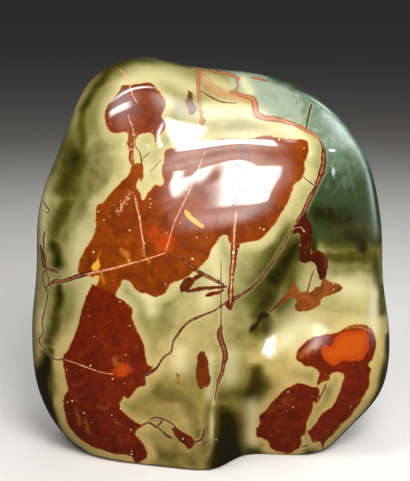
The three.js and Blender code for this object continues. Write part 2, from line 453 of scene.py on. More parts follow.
# the stone's own olive clouds, with painted shade and painted dark reflection where marked below
# strength, then the stroke's knots: x, y and half width
OLIVE_AND_SHADE_STROKES = [
    # down the left side and round the top left: the stone's own olive, darkened at the rim by painted shade and
    # painted dark reflection
    (0.62, [(83, 112, 4), (83, 130, 5), (80, 146, 7)]),
    (0.85, [(74, 160, 17), (71, 175, 18), (67, 190, 14)]),
    (0.72, [(66, 204, 12), (60, 218, 10), (56, 234, 9)]),
    (0.92, [(54, 246, 7), (57, 266, 6)]),
    (0.5, [(98, 150, 12), (96, 170, 16), (88, 188, 16), (78, 206, 14), (70, 222, 12), (64, 238, 10)]),
    (0.9, [(61, 286, 3), (60, 298, 5), (56, 310, 5)]),
    (0.75, [(55, 316, 5), (54, 328, 6), (51, 342, 7)]),
    (1.1, [(47, 354, 7), (45, 364, 8), (43, 374, 8), (42, 384, 11), (45, 404, 11), (52, 424, 8),
           (62, 442, 6)]),
    (0.75, [(82, 110, 4), (95, 86, 5), (116, 66, 6), (150, 58, 5), (190, 66, 3)]),
    # painted dark reflection and shade down the valley between the face and the lower right lobe
    (0.7, [(288, 236, 14), (278, 253, 18), (269, 272, 20), (263, 290, 17), (259, 312, 13), (258, 328, 10)]),
    (0.95, [(294, 248, 13), (286, 263, 14), (276, 279, 13)]),
    (0.8, [(276, 279, 13), (268, 294, 13), (261, 306, 10)]),
    (0.66, [(294, 268, 10), (292, 280, 11), (288, 295, 11), (278, 306, 9)]),
    (0.8, [(262, 312, 9), (267, 326, 9)]),
    # painted dark reflection and shade in the hollow right of the prow
    (0.9, [(255, 371, 8), (258, 384, 12), (252, 396, 9)]),
    (0.6, [(222, 396, 7), (238, 395, 9), (250, 394, 9)]),
    (0.5, [(156, 390, 8), (170, 397, 12), (186, 406, 10), (194, 420, 9), (200, 436, 8)]),
    (0.55, [(146, 440, 6), (165, 454, 10), (192, 464, 11)]),
    (0.5, [(207, 408, 5), (207, 428, 6), (205, 450, 6)]),
    # painted shade along the bottom edge, where the stone turns under
    (0.85, [(388, 335, 4), (387, 362, 6), (383, 384, 7), (373, 402, 7), (361, 419, 7), (346, 435, 6),
            (322, 455, 5)]),
    (0.8, [(322, 453, 5), (296, 453, 4), (270, 453, 5), (250, 452, 8)]),
    (0.3, [(166, 306, 9), (164, 330, 10)]),
    (0.35, [(240, 318, 9), (242, 334, 9)]),
    (1.0, [(346, 236, 9), (359, 240, 10), (361, 250, 8)]),
    (0.95, [(312, 230, 8), (325, 228, 10)]),
    (1.0, [(314, 228, 6), (315, 240, 6), (313, 250, 4)]),
    (0.85, [(312, 228, 8), (340, 238, 14), (372, 240, 12)]),
    (0.74, [(328, 254, 6), (345, 258, 10), (372, 258, 11)]),
    (0.5, [(335, 270, 7), (360, 270, 8), (380, 270, 9)]),
    (0.75, [(375, 258, 6), (380, 285, 6), (381, 312, 5)]),
]
print("olive strokes:", len(OLIVE_AND_SHADE_STROKES))

# %% pale clouds and painted sheen
PALE_AND_SHEEN_STROKES = [
    # painted sheen round the thumb print
    (0.9, [(274, 347, 7), (286, 338, 11), (301, 328, 12), (318, 332, 8)]),
    (0.6, [(214, 250, 7), (218, 275, 8), (206, 300, 8)]),
    # painted sheen across the top of the face
    (0.7, [(212, 110, 9), (240, 106, 8), (280, 130, 5)]),
    (0.6, [(124, 84, 6), (140, 75, 7), (166, 77, 8), (192, 88, 8)]),
    (0.5, [(206, 78, 5), (228, 88, 6)]),
    (0.5, [(147, 148, 6), (150, 168, 7)]),
    (0.7, [(180, 352, 7), (180, 366, 8)]),
    (0.6, [(252, 405, 5), (252, 440, 5)]),
    (0.7, [(148, 296, 7), (152, 310, 6)]),
    (0.7, [(340, 285, 9), (358, 290, 9)]),
    # a painted highlight on the prow's crest
    (0.6, [(214, 398, 1), (212, 425, 1.2), (209.5, 455, 1)]),
    # painted sheen down the left rim
    (0.7, [(45, 196, 3), (43, 215, 3.5), (43, 245, 3)]),
    (0.5, [(40, 312, 4), (40, 330, 4)]),
    (0.5, [(84, 228, 8), (80, 245, 9)]),
    (0.5, [(232, 356, 8), (230, 376, 8)]),
    (0.5, [(211, 356, 4), (209, 395, 4)]),
    # painted sheen near the top
    (0.8, [(243, 80, 4), (250, 92, 4)]),
    (0.9, [(280, 128, 6), (297, 132, 6), (308, 152, 4)]),
]
print("pale strokes:", len(PALE_AND_SHEEN_STROKES))

# %% [markdown]
# ## Smears and crumbs
# Thin amber smears lie in the brown, and crumbs of salmon fill some old cracks. They are strokes as well,
# narrow ones, which the material breaks up with fine noise.

# %% smears and crumbs
SMEARS = [
    (0.8, [(101, 273, 1.5), (104, 283, 2)]),
    (0.9, [(121, 250, 1.5), (127, 255, 2.5), (129, 262, 1.5)]),
    (0.6, [(141, 249, 1.5), (149, 262, 2)]),
    (0.6, [(101.5, 248, 1), (98, 258, 1.4)]),
    (0.6, [(113, 358, 2), (116, 364, 2.5)]),
    (0.45, [(76, 410, 2), (80, 424, 2.5)]),
    (0.45, [(85, 417, 2), (88, 432, 2.5)]),
    (0.3, [(118, 428, 2), (121, 440, 2)]),
    (0.25, [(266, 414, 4), (287, 398, 5)]),
    (0.2, [(283, 442, 4), (292, 431, 4)]),
    (0.6, [(346, 329, 2), (357, 326.5, 2.5), (370, 331, 2)]),
    (0.5, [(301, 355, 4), (317, 345, 5)]),
]
CRUMBS = [
    (1.0, [(117, 214, 3.5), (124, 203, 4.5), (131, 192, 4)]),
    (0.8, [(126, 130, 2), (134, 134, 3), (146, 134, 2), (153, 131, 2)]),
    (0.9, [(131, 138, 2), (131, 152, 2.5), (133, 164, 3)]),
    (0.7, [(138, 164, 3), (141, 174, 3)]),
    (0.5, [(199, 112, 3), (202, 124, 4)]),
]
print("smears:", len(SMEARS), " strokes of crumbs:", len(CRUMBS))

# %% [markdown]
# ## Veins
# Healed cracks cross the stone. The thicker ones are dark at both edges with a copper line down the
# middle. At the top a ribbon is copper all through, and in the brown fine cracks show as pale hairs. Each
# is a line of knots with a width at every knot, all in pixels.

# %% dark veins
DARK_VEINS = [
    [(40.4, 245.6, 2), (42.7, 253, 4), (44, 262, 5), (46, 268, 3.5), (53, 270.3, 3.5), (57.7, 272.7, 3)],
    [(45, 271, 1.4), (42.5, 276, 1.4), (43.5, 283, 1.4), (46, 290, 1.4)],
    [(46, 271, 1.4), (48.5, 278, 1.4), (48, 285, 1.4), (45, 290, 1.4)],
    [(49.3, 284.8, 3), (54, 281.5, 4.5), (62.3, 281, 4.5), (71.7, 278.3, 5), (79, 276, 5.5), (92, 272, 4)],
    [(48, 290, 1.6), (47.4, 298, 1.6), (43.7, 314.7, 1.5), (42.3, 322, 1.4), (43.2, 332, 1.4),
     (39, 340.8, 1.4), (44.6, 349, 1.4), (53, 358, 1.6), (57.7, 360, 1.6), (63, 359, 2)],
    [(147, 374, 5), (154, 370, 4), (158, 366, 2.5), (164, 357, 2.5), (171, 351.7, 2.5), (173, 342, 2.5),
     (177.7, 334.5, 3), (182.4, 328, 3), (188, 322.4, 3), (194.5, 318.7, 3), (206.7, 313.5, 2.2),
     (214, 310.7, 2), (226, 302.5, 2)],
    [(234, 299, 4.5), (242, 294.4, 3.5), (254.3, 285, 3), (263.6, 274.8, 2.5), (272, 262.7, 2.2),
     (281.3, 247.7, 2), (289.7, 232.8, 1.6), (297, 222, 1.4)],
    [(166.5, 252, 1.5), (179, 257, 2), (188, 264, 3.5), (199, 272, 4.5), (212, 278.5, 4), (222, 284, 4)],
    [(221.5, 326, 2.5), (219.5, 334, 7), (221, 341, 7), (224, 349, 6), (225.5, 357, 7), (223.5, 364, 5),
     (222.5, 371, 4.5), (219, 380, 4.5), (217, 387, 1.8), (214.5, 400, 1.4)],
    [(221, 262, 1), (221, 285, 1.2), (221, 318, 1.4), (222, 329, 2)],
    [(318.7, 139, 1.5), (322, 145.3, 2.5), (323.5, 151.7, 5), (323.5, 161.3, 6), (322, 171, 7),
     (318.7, 179.5, 6), (315.5, 187, 5), (310, 197.6, 5.5), (306.4, 206, 5), (302.7, 213.6, 5),
     (298, 220, 4), (293, 230, 3)],
    [(201, 91, 1.5), (209, 96, 2), (220.5, 101.6, 1.5), (236, 103, 1)],
    [(303.5, 177, 1.2), (311, 183, 1.4), (314, 186, 1)],
    [(311, 105, 2.5), (308, 118, 2.2), (306, 129, 1.8)],
    [(44, 202, 1.2), (46.5, 207, 1.5), (49, 210, 1.6), (48.5, 212.5, 1.4), (45.5, 212, 1)],
    [(45, 231, 1.4), (43.5, 238, 1.8), (44, 248, 1.4)],
    [(136, 147, 1), (140, 154, 1.6), (142, 165, 2.2)],
    [(143, 158.5, 1), (149.5, 152.5, 1.2)],
    [(150, 172, 0.8), (161, 160, 0.8)],
    [(269, 313, 1.5), (275, 307.5, 2.5), (281, 302, 2.5), (288, 295, 3)],
    [(314.3, 269.6, 1.2), (312, 275, 1.5), (309.7, 283.6, 1.8), (307.3, 291.5, 2)],
    [(323, 279, 2), (321, 287, 1.5)],
    [(144, 424, 2.5), (149, 423, 2.5), (154, 425.4, 2.5), (156.6, 427, 2.5), (161.7, 421.4, 2.2)],
    [(151, 418, 1.5), (158, 417.4, 2), (165, 420, 2), (172, 423.7, 2), (176.5, 428, 2)],
    [(156.6, 427, 1.5), (163, 431.6, 2), (166, 435, 3.5), (171.4, 437.8, 3)],
    [(195, 442, 2), (200.8, 440, 3), (203.7, 434, 3.5), (203.7, 428, 1.5)],
    [(325.6, 385, 2), (322.7, 392, 2), (318, 401.7, 1.5)],
    [(301.7, 447, 1.5), (308.7, 445.4, 1.2)],
]
print("dark veins:", len(DARK_VEINS))

# %% copper lines and pale hairs
COPPER_LINES = [
    [(198.5, 68, 4.5), (198.5, 85, 4.5), (199, 100, 3.5), (199.5, 112, 2.5)],
    [(201, 69.6, 3), (215, 71.7, 3), (228, 74, 4), (236, 77, 3), (240, 79.5, 1.5)],
    [(252, 77.5, 2), (259, 78.5, 3), (267, 81, 2)],
    [(235, 77, 2.5), (238, 84, 2), (236, 91, 3.5)],
    [(231, 92, 3), (243, 95.5, 4.5), (253, 99.5, 7), (255, 107, 7), (256, 113, 7), (260, 116.5, 7),
     (267, 118.3, 7), (276, 119, 6), (286, 122, 5.5), (296, 125, 5), (304, 129, 4), (312, 133, 3.5),
     (318, 138, 2.5)],
]
PALE_HAIRS = [
    [(121, 70.6, 1.6), (126, 75.3, 1.6), (129.3, 83.7, 1.4), (130.7, 90, 1.2), (133.5, 96.7, 1.2),
     (136.3, 101.4, 1)],
    [(128.4, 115.4, 1), (129.8, 121, 1.4), (132.6, 127.5, 1.4), (134.5, 139.7, 1.2), (133, 150, 1)],
    [(134.8, 196, 2), (137, 207, 2.2), (139.3, 217.4, 2.2), (141, 227.6, 2), (142.7, 240, 1.8),
     (144.4, 251.4, 1.4)],
    [(205, 152, 1), (191.5, 185.7, 1.3), (184.7, 200.4, 1.4), (179, 213, 1.4), (174.5, 222, 1.4),
     (166.5, 249, 1.4)],
    [(88.5, 274, 3), (99.7, 271.3, 2.5), (111, 269, 2.2), (132.5, 263, 1.8), (146, 259.3, 1.5),
     (159.7, 254.8, 1.2), (166, 252, 1)],
    [(66, 360, 1), (77, 363.7, 1.2), (86.6, 367.4, 1.2), (96, 370.7, 1.2), (104, 373, 1.2), (112, 374, 1)],
    # a painted highlight along the snake's edge
    [(294, 228.5, 0.8), (300, 227, 0.8), (304, 231, 0.7)],
    [(236, 213, 2), (234.5, 230, 2.6), (233.3, 256, 2.2), (231.5, 275, 2), (230.5, 302, 1.6)],
]
print("copper lines:", len(COPPER_LINES), " pale hairs:", len(PALE_HAIRS))

# %% [markdown]
# ## The back and the sides
# The photograph doesn't show the back, so it is invented in the same palette. A patch on a polished stone
# is where the cut runs through a lump of darker stone. On the back the lumps are ellipsoids inside the
# stone, bent by a few slow waves so that no two are alike. The skin's distance to the nearest lump is
# then stored in the same way as on the front. A healed crack is a sheet through the stone, so its vein is
# where the skin meets a plane, bent by the same waves.

# %% lumps behind the skin, in millimetres
# middle, half sizes
BACK_LUMPS = [
    ((-34, 34, 118), (17, 16, 12)), ((-20, 38, 104), (15, 12, 9)), ((-6, 40, 96), (12, 10, 7)),
    ((18, 36, 92), (24, 16, 15)), ((34, 32, 112), (12, 15, 16)), ((24, 30, 128), (15, 12, 8)),
    ((-44, 34, 62), (15, 16, 19)), ((-36, 36, 40), (12, 14, 13)), ((-54, 26, 84), (8, 14, 9)),
    ((30, 36, 42), (17, 12, 12)), ((46, 26, 30), (12, 14, 8)), ((8, 38, 28), (9, 12, 12)),
    ((-66, 12, 92), (9, 9, 16)), ((-62, 14, 34), (12, 12, 10)), ((66, 12, 52), (10, 12, 14)),
    ((-10, 14, 160), (16, 9, 8)),
]
BACK_CORES = [
    ((20, 40, 93), (9, 10, 7)), ((-45, 38, 60), (7, 10, 8)), ((31, 40, 41), (8, 8, 5)),
    ((-33, 40, 119), (6, 10, 5)),
]
BACK_CLOUDS = [
    ((-62, 20, 70), (14, 20, 34)), ((50, 30, 74), (14, 20, 26)), ((0, 40, 60), (20, 12, 14)),
    ((0, 34, 138), (26, 14, 9)), ((-14, 38, 14), (18, 14, 10)), ((66, 8, 24), (12, 16, 16)),
]
# the way each sheet faces, how far it is from the origin that way, and its thickness
BACK_CRACKS = [
    ((0.35, 0.2, 0.9), 84, 1.0), ((0.9, 0.25, -0.45), -36, 0.8), ((0.7, -0.2, 0.7), 46, 0.6),
    ((-0.5, 0.2, 0.85), 112, 0.7),
]
print("back:", len(BACK_LUMPS), "lumps,", len(BACK_CORES), "cores,", len(BACK_CLOUDS), "clouds,",
      len(BACK_CRACKS), "cracks")


# %% bent lumps
def waves(points, length, height):
    """A slow, smooth wobble of points in millimetres, the same at every run."""
    turns = np.array([[0.8, 0.5, -0.3], [-0.4, 0.9, 0.6], [0.5, -0.6, 0.9]])
    phase = points @ turns.T * (2 * np.pi / length) + np.array([0.3, 1.7, 4.1])
    return height * (np.sin(phase) + 0.6 * np.sin(1.9 * phase[:, [1, 2, 0]] + 1.3))


def lump_distance(points, lumps):
    """How far points are outside the nearest of several ellipsoids, in millimetres: negative inside."""
    best = np.full(len(points), FAR)
    for middle, half in lumps:
        away = (points - np.array(middle)) / np.array(half)
        best = np.minimum(best, (np.linalg.norm(away, axis=1) - 1) * min(half))
    return best


# length and height of each set of waves
SLOW_WAVES = (46, 4.5)
QUICK_WAVES = (15, 1.3)
print("points of the skin inside a lump:", (lump_distance(1000 * skin, BACK_LUMPS) < 0).sum())

# %% [markdown]
# ## All the markings at once
# Each kind of marking is measured at every point of the skin. A point of the back must not take the
# drawing of the front, so the drawing fades out where the skin turns away from the camera's place, and
# the lumps fade in behind it.


# %% colours of the patches
def colour(red, green, blue):
    """A screen colour, 0 to 255, as the linear values that a shader works in."""
    share = np.array((red, green, blue)) / 255
    return tuple(np.where(share <= 0.04045, share / 12.92, ((share + 0.055) / 1.055) ** 2.4))


RUST = colour(118, 49, 0)
RED_BROWN = colour(97, 23, 0)
DARK_BROWN = colour(84, 34, 4)
MAROON = colour(58, 14, 3)
PATCHES = [
    (CAP, colour(108, 42, 2)),
    (BODY_AND_SAIL, RUST),
    (DRESS, RED_BROWN),
    (MUSHROOM, RED_BROWN),
    (LEAF, RED_BROWN),
    (LEG, colour(96, 38, 12)),
    (HOOK, DARK_BROWN),
    (ARM, DARK_BROWN),
    (SLIVER, RED_BROWN),
    (LENS_SPOT, colour(98, 38, 0)),
    (WING, colour(124, 65, 18)),
    (SNAKE, MAROON),
    (DARK_CRACK, colour(34, 26, 12)),
    (RED_LENS, colour(88, 24, 10)),
    (FUZZY_BLOB, colour(84, 50, 12)),
    (OCHRE_CRUMB, colour(140, 96, 24)),
    (AMBER_CLUMP, colour(142, 94, 44)),
]
print("patches:", len(PATCHES))


# %% soft shapes
def ramp(value, start, end):
    """0 before start, 1 after end, and smooth between."""
    share = np.clip((value - start) / (end - start), 0, 1)
    return share * share * (3 - 2 * share)


def hump(places, x, y, to_left, to_right, upward, downward, lean):
    """A soft round hump: 1 at its middle, a half at its half sizes and nearly 0 at twice those."""
    turn = math.radians(lean)
    across, down = places[:, 0] - x, places[:, 1] - y
    u = across * math.cos(turn) + down * math.sin(turn)
    v = down * math.cos(turn) - across * math.sin(turn)
    u = u / np.where(u < 0, to_left, to_right)
    v = v / np.where(v < 0, upward, downward)
    return 0.5 ** (u**2 + v**2)


def blobs(places, spots):
    """The strongest of several soft round spots at each place, from 0 to 1."""
    best = np.zeros(len(places))
    for *shape, strength in spots:
        best = np.maximum(best, strength * hump(places, *shape))
    return best


def strokes(places, drawn):
    """The strongest of several soft brush strokes at each place, from 0 to about 1."""
    best = np.zeros(len(places))
    for strength, knots in drawn:
        curve = smooth_curve(knots, closed=False, steps=3)
        distance, nearest, share, _ = along_segments(places, curve[:-1, :2], curve[1:, :2])
        width = curve[nearest, 2] * (1 - share) + curve[nearest + 1, 2] * share
        best = np.maximum(best, strength * 0.5 ** (distance / width) ** 2)
    return best


def drifted(places):
    """The places, pushed about by slow waves, so that what is drawn there looks like smoke."""
    x, y = places.T
    return np.stack([x + 1.5 * np.sin(y / 8.5 + np.sin(x / 14)) + 0.7 * np.sin(y / 3.9 + x / 6.1),
                     y + 1.5 * np.sin(x / 9.5 + 1.3) + 0.7 * np.sin(x / 4.7 - y / 7.3)], 1)


print("halfway up a ramp:", ramp(0.5, 0, 1))

# %% front and back
from collections import namedtuple

# how squarely the skin faces the camera's place where the drawing starts to show, and where it is whole
EDGE_FADE = (0.02, 0.16)
Seen = namedtuple("Seen", "places mm bent facing shown")


def look_at(points, normals):
    """Where points lie in the photograph and in the bent stone, and how much of the drawing shows there."""
    sight = np.array(camera.location) - points
    facing = (sight * normals).sum(1) / np.linalg.norm(sight, axis=1)
    mm = 1000 * points
    bent = mm + waves(mm, *SLOW_WAVES) + waves(mm, *QUICK_WAVES)
    return Seen(in_photo(points), mm, bent, facing, ramp(facing, *EDGE_FADE))


def on_front(seen, pixels):
    """A distance in the photograph, in millimetres, that grows out of reach where the skin turns away."""
    return pixels * MM_PER_PIXEL + FAR * (1 - seen.shown)


def on_back(seen, lumps):
    """A distance to lumps behind the skin that grows out of reach where the drawing shows."""
    return np.clip(lump_distance(seen.bent, lumps) + FAR * seen.shown, -FAR, FAR)


seen = look_at(skin, normals_of(skin, triangles))
print("share of the skin that carries the drawing:", round(seen.shown.mean(), 2))

# %% measure the patches and cores
# heights in millimetres between which the patches of the back turn from red-brown to rust
TINT_HEIGHTS = (60, 100)


def patches_at(seen):
    """Distances to the brown patches and to the large ones alone, and the tint of the nearest."""
    brown, halo = np.full(len(seen.mm), FAR), np.full(len(seen.mm), FAR)
    higher = ramp(seen.mm[:, 2:], *TINT_HEIGHTS)
    tint = np.array(RED_BROWN) * (1 - higher) + np.array(RUST) * higher
    for outline, shade in PATCHES:
        distance = on_front(seen, patch_distance(seen.places, outline))
        if outline in LARGE_PATCHES:
            halo = np.minimum(halo, distance)
        nearer = distance < brown
        brown[nearer] = distance[nearer]
        tint[nearer] = shade
    behind = on_back(seen, BACK_LUMPS)
    return {"brown": np.minimum(brown, behind), "halo": np.minimum(halo, behind), "tint": tint}


def cores_at(seen):
    """Distances to the cores, the ochre bars and the salmon fold, and the soft glow."""
    orange = np.minimum.reduce([patch_distance(seen.places, core) for core in (ORANGE_CORE, DRESS_CORE)])
    ochre = [patch_distance(seen.places, bar) for bar in (OCHRE_BAR, OCHRE_NECK, OCHRE_WAIST)]
    return {"orange": np.minimum(on_front(seen, orange), on_back(seen, BACK_CORES)),
            "ochre": on_front(seen, np.minimum.reduce(ochre)),
            "salmon": on_front(seen, patch_distance(seen.places, SALMON_FOLD)),
            "glow": blobs(seen.places, SOFT_CORES) * seen.shown}


print("points of the skin in brown:", (patches_at(seen)["brown"] < 0).sum())

# %% measure the clouds and the painted shade
# pixels over which the painted shade of the foot's hollow darkens, from outside its outline to inside
HOLLOW_SHADE_EDGE = (-11, 12)
# the clouds run on round the sides, and fade between these shares of facing
CLOUD_FADE = (-0.55, 0.1)
# the ground stays pale this close to a large patch, in millimetres
CLEAR_OF_PATCHES = (1.0, 5.0)
BACK_CLOUD_EDGE = 6
BACK_CLOUD_STRENGTH = 0.7


def clouds_at(seen, halo):
    """The olive and pale clouds, with their painted shade, dark reflection and sheen, the smears and the
    crumbs.
    """
    drawn = strokes(drifted(seen.places), OLIVE_AND_SHADE_STROKES)
    # painted shade in the foot's hollow
    drawn = np.maximum(drawn, ramp(-patch_distance(seen.places, HOLLOW_SHADE), *HOLLOW_SHADE_EDGE))
    # painted shade: darker towards the foot
    strength, start, whole = FOOT_SHADE
    drawn = np.maximum(drawn, strength * ramp(seen.places[:, 1], start, whole))
    behind = np.clip(1 - lump_distance(seen.bent, BACK_CLOUDS) / BACK_CLOUD_EDGE, 0, 1)
    behind = behind * BACK_CLOUD_STRENGTH * (1 - seen.shown)
    olive_and_shade = np.maximum(drawn * ramp(seen.facing, *CLOUD_FADE), behind) * ramp(halo, *CLEAR_OF_PATCHES)
    return {"olive_and_shade": olive_and_shade,
            "pale": strokes(seen.places, PALE_AND_SHEEN_STROKES) * seen.shown,
            "smear": strokes(seen.places, SMEARS) * seen.shown,
            "crumbs": strokes(seen.places, CRUMBS) * seen.shown}


print("deepest olive:", round(clouds_at(seen, patches_at(seen)["halo"])["olive_and_shade"].max(), 2))

# %% measure the green side
DARK_RIM_REFLECTION_EDGE = (-6, 6)
BORDER_SHARPNESS = 14
# behind: where the green starts across the stone, how that leans with height, how it wraps round the side and
# how low it comes, in millimetres
GREEN_FROM, LEAN_FROM, GREEN_LEAN = 40, 100, 0.35
GREEN_WRAP, WRAP_DEPTH = 0.9, 50
GREEN_LOWEST = 88
GREEN_BEHIND = 0.6


def green_at(seen):
    """The distance to the green side, negative inside, and how dark the green is, with painted dark reflection
    along the top right rim.
    """
    smoke = drifted(seen.places)
    # painted dark reflection along the top right rim
    rim = ramp(-patch_distance(seen.places, DARK_RIM_REFLECTION), *DARK_RIM_REFLECTION_EDGE)
    deep = np.maximum(ramp(smoke[:, 1], *DEEPER_FLANK), rim) + strokes(smoke, FLANK_STROKES)
    border = BORDER_SHARPNESS * patch_distance(seen.places, RIBBON_SIDE)
    in_front = np.maximum(border, smoke[:, 1] - GREEN_ENDS_AT) * MM_PER_PIXEL
    behind = GREEN_FROM - seen.bent[:, 0] - GREEN_LEAN * (seen.bent[:, 2] - LEAN_FROM)
    behind = behind + GREEN_WRAP * np.clip(seen.mm[:, 1], 0, WRAP_DEPTH)
    behind = np.maximum(behind, GREEN_LOWEST - seen.bent[:, 2])
    return {"green": np.clip(in_front * seen.shown + behind * (1 - seen.shown), -FAR, FAR),
            "dark_green_and_reflection": deep * seen.shown + GREEN_BEHIND * (1 - seen.shown)}


print("points of the skin in green:", (green_at(seen)["green"] < 0).sum())

# %% measure the veins
# a sheet of the back meets the skin at a slant, so its vein looks wider than the sheet
CRACK_SLANT = 0.3


def veins_at(seen):
    """For each kind of vein: which side of its line a point lies on, how far from it, and its half width."""
    out = {}
    for name, veins in (("vein", DARK_VEINS), ("copper", COPPER_LINES), ("hair", PALE_HAIRS)):
        sided, plain, half = vein_distances(seen.places, veins)
        out[name + "_side"] = sided * MM_PER_PIXEL
        out[name + "_gap"] = on_front(seen, plain)
        out[name + "_half"] = half * MM_PER_PIXEL * seen.shown
    return out


def add_back_cracks(seen, found):
    """Puts the veins of the back among the dark ones."""
    for facing_way, offset, thickness in BACK_CRACKS:
        off = seen.bent @ np.array(facing_way) / np.linalg.norm(facing_way) - offset
        gap = CRACK_SLANT * np.abs(off) + FAR * seen.shown
        nearer = gap < found["vein_gap"]
        found["vein_side"][nearer] = off[nearer]
        found["vein_gap"][nearer] = gap[nearer]
        found["vein_half"][nearer] = thickness / 2


print("points within a millimetre of a dark vein:", (veins_at(seen)["vein_gap"] < 1).sum())

# %% all of them together
# added to a point's distance from the nearest edge where the drawing doesn't show, in millimetres
BACK_IS_COARSER = 0.3


def edge_distance(found):
    """How far each point is from the nearest crisp edge of a marking, in millimetres."""
    lines = [np.maximum(found[name + "_gap"] - found[name + "_half"], 0) for name in ("vein", "copper", "hair")]
    edges = [np.abs(found[name]) for name in ("brown", "orange", "ochre", "salmon")]
    return np.minimum.reduce(lines + edges)


def markings(points, normals):
    """Every marking at every point, by name, and how far each point is from the nearest crisp edge."""
    seen = look_at(points, normals)
    found = patches_at(seen) | cores_at(seen) | green_at(seen) | veins_at(seen)
    found |= clouds_at(seen, found["halo"])
    edge = edge_distance(found) + BACK_IS_COARSER * (1 - seen.shown)
    add_back_cracks(seen, found)
    return found, edge


found, edge = markings(skin, normals_of(skin, triangles))
print("measured:", ", ".join(found))

# %% [markdown]
# ## Low swells of the show face
# The flashes in the photograph are bent by swells too low to see otherwise: a brow over the dish that
# draws the flash out to a thin line, a wave across the dish, the crest of the prow, and the bottom of the
# thumb print. Most move the skin by about half a millimetre, the wave in the dish lifts it by one, and
# the thumb print goes down by nearly two. A bump in the material could bend the flashes too, but then the
# shape would not be in the mesh.

# %% lift the swells
# the part of the skin that is cut finer for the swells, and where they fade in, as shares of facing the camera
CUT_FROM = -0.1
SWELLS_FADE = (0.1, 0.4)
# x, y, half sizes to the left, right, up and down, lean, and the lift in millimetres
SWELLS = [
    (255, 143, 30, 70, 8, 10, 4, 0.6), (207, 148, 45, 32, 8, 12, -7, 0.5),
    (292, 200, 14, 14, 14, 14, -40, -0.5), (225, 180, 26, 35, 14, 34, -23, 1.0),
    (189, 172.5, 55, 11, 6, 13, -29, 0.3), (184, 179, 20, 10, 8, 14, -74, -0.2),
    (226, 203, 15, 10, 28, 18, -24, -0.14), (212, 425, 5, 3, 40, 40, 2, 0.5),
    (274, 334, 20, 20, 14, 16, -10, -1.9), (291, 322, 10, 10, 8, 9, 0, -0.9),
]
to_front = np.array(towards_camera)
faces_camera = normals_of(skin, triangles)[triangles] @ to_front > CUT_FROM
skin, triangles = finer(skin, triangles, faces_camera.any(1))
outward = normals_of(skin, triangles)
in_front = ramp(outward @ to_front, *SWELLS_FADE)
for *shape, lift in SWELLS:
    skin = skin + outward * (in_front * hump(in_photo(skin), *shape) * lift / 1000)[:, None]
found, edge = markings(skin, normals_of(skin, triangles))
print("lifted", len(SWELLS), "swells;", len(triangles), "triangles")

# %% [markdown]
# ## Finest where the markings are
# The skin is cut twice more, in ever narrower bands along the edges of the markings. That puts the small
# triangles where they carry the drawing, and keeps the whole stone within its budget.

# %% cut the bands along the markings
BANDS = (0.6, 0.16)
for band in BANDS:
    skin, triangles = finer(skin, triangles, edge[triangles].min(1) < band)
    found, edge = markings(skin, normals_of(skin, triangles))
    print("cut within", band, "mm:", len(skin), "points,", len(triangles), "triangles")

# %% [markdown]
# ## The stone
# The skin becomes a mesh, shaded smooth, and every measured marking becomes an attribute of its points,
# which the material reads by name. An attribute needs no unwrapping, and it has no seam.

# %% make the stone
mesh = bpy.data.meshes.new("polished_jasper")
mesh.from_pydata(skin.tolist(), [], triangles.tolist())
mesh.polygons.foreach_set("use_smooth", np.ones(len(triangles), bool))
for name, values in found.items():
    kind, slot = ("FLOAT_COLOR", "color") if values.ndim == 2 else ("FLOAT", "value")
    if values.ndim == 2:
        values = np.column_stack([values, np.ones(len(values))])
    mesh.attributes.new(name, kind, "POINT").data.foreach_set(slot, values.astype(np.float32).ravel())
mesh.update()
stone = bpy.data.objects.new("polished_jasper", mesh)
bpy.context.scene.collection.objects.link(stone)
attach(stone, "root")
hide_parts("jasper")
print("stone:", len(mesh.vertices), "points,", len(mesh.polygons), "triangles,", len(found), "attributes")

# %% [markdown]
# ## The polished finish
# Jasper is opaque and takes a mirror polish, so the shader is one Principled surface with a low roughness
# and the index of refraction of quartz. All the interest is in its colour. It is built up as the stone
# is: first the cream ground with its clouds, then the green side, the brown patches with their rims,
# cores and specks, and last the veins.

# %% short names for nodes
finish = bpy.data.materials.new("polished_jasper")
finish.use_nodes = True
nodes, links = finish.node_tree.nodes, finish.node_tree.links
surface = nodes["Principled BSDF"]


def plug(value, socket):
    """Links a node's output to a socket, or sets the socket to a plain value."""
    if isinstance(value, bpy.types.NodeSocket):
        links.new(value, socket)
    elif socket.type == "RGBA":
        socket.default_value = (*value, 1) if len(value) == 3 else value
    else:
        socket.default_value = value


def read(name, output="Fac"):
    """A marking that the mesh carries."""
    node = nodes.new("ShaderNodeAttribute")
    node.attribute_name = name
    return node.outputs[output]


def calc(operation, *values):
    """One step of arithmetic."""
    node = nodes.new("ShaderNodeMath")
    node.operation = operation
    for value, socket in zip(values, node.inputs):
        plug(value, socket)
    return node.outputs[0]


print("the finish starts with", len(nodes), "nodes")


# %% fading and blending
def fade(value, start, end, low=0.0, high=1.0):
    """low before start, high after end, and smooth between. Start may be the larger of the two."""
    node = nodes.new("ShaderNodeMapRange")
    node.interpolation_type = "SMOOTHSTEP"
    limits = (end, start, high, low) if start > end else (start, end, low, high)
    for item, socket in zip((value, *limits), node.inputs):
        plug(item, socket)
    return node.outputs[0]


def blend(share, under, over, way="MIX"):
    """under where share is 0, over where it is 1."""
    node = nodes.new("ShaderNodeMix")
    node.data_type = "RGBA"
    node.blend_type = way
    for item, socket in zip((share, under, over), (node.inputs[0], node.inputs[6], node.inputs[7])):
        plug(item, socket)
    return node.outputs[2]


def stirred(value, noise, amount):
    """A value pushed up and down by noise."""
    return calc("ADD", value, calc("MULTIPLY", calc("SUBTRACT", noise, 0.5), amount))


where = nodes.new("ShaderNodeTexCoord").outputs["Object"]
print("noise is placed by the", where.name.lower(), "coordinates, in metres")


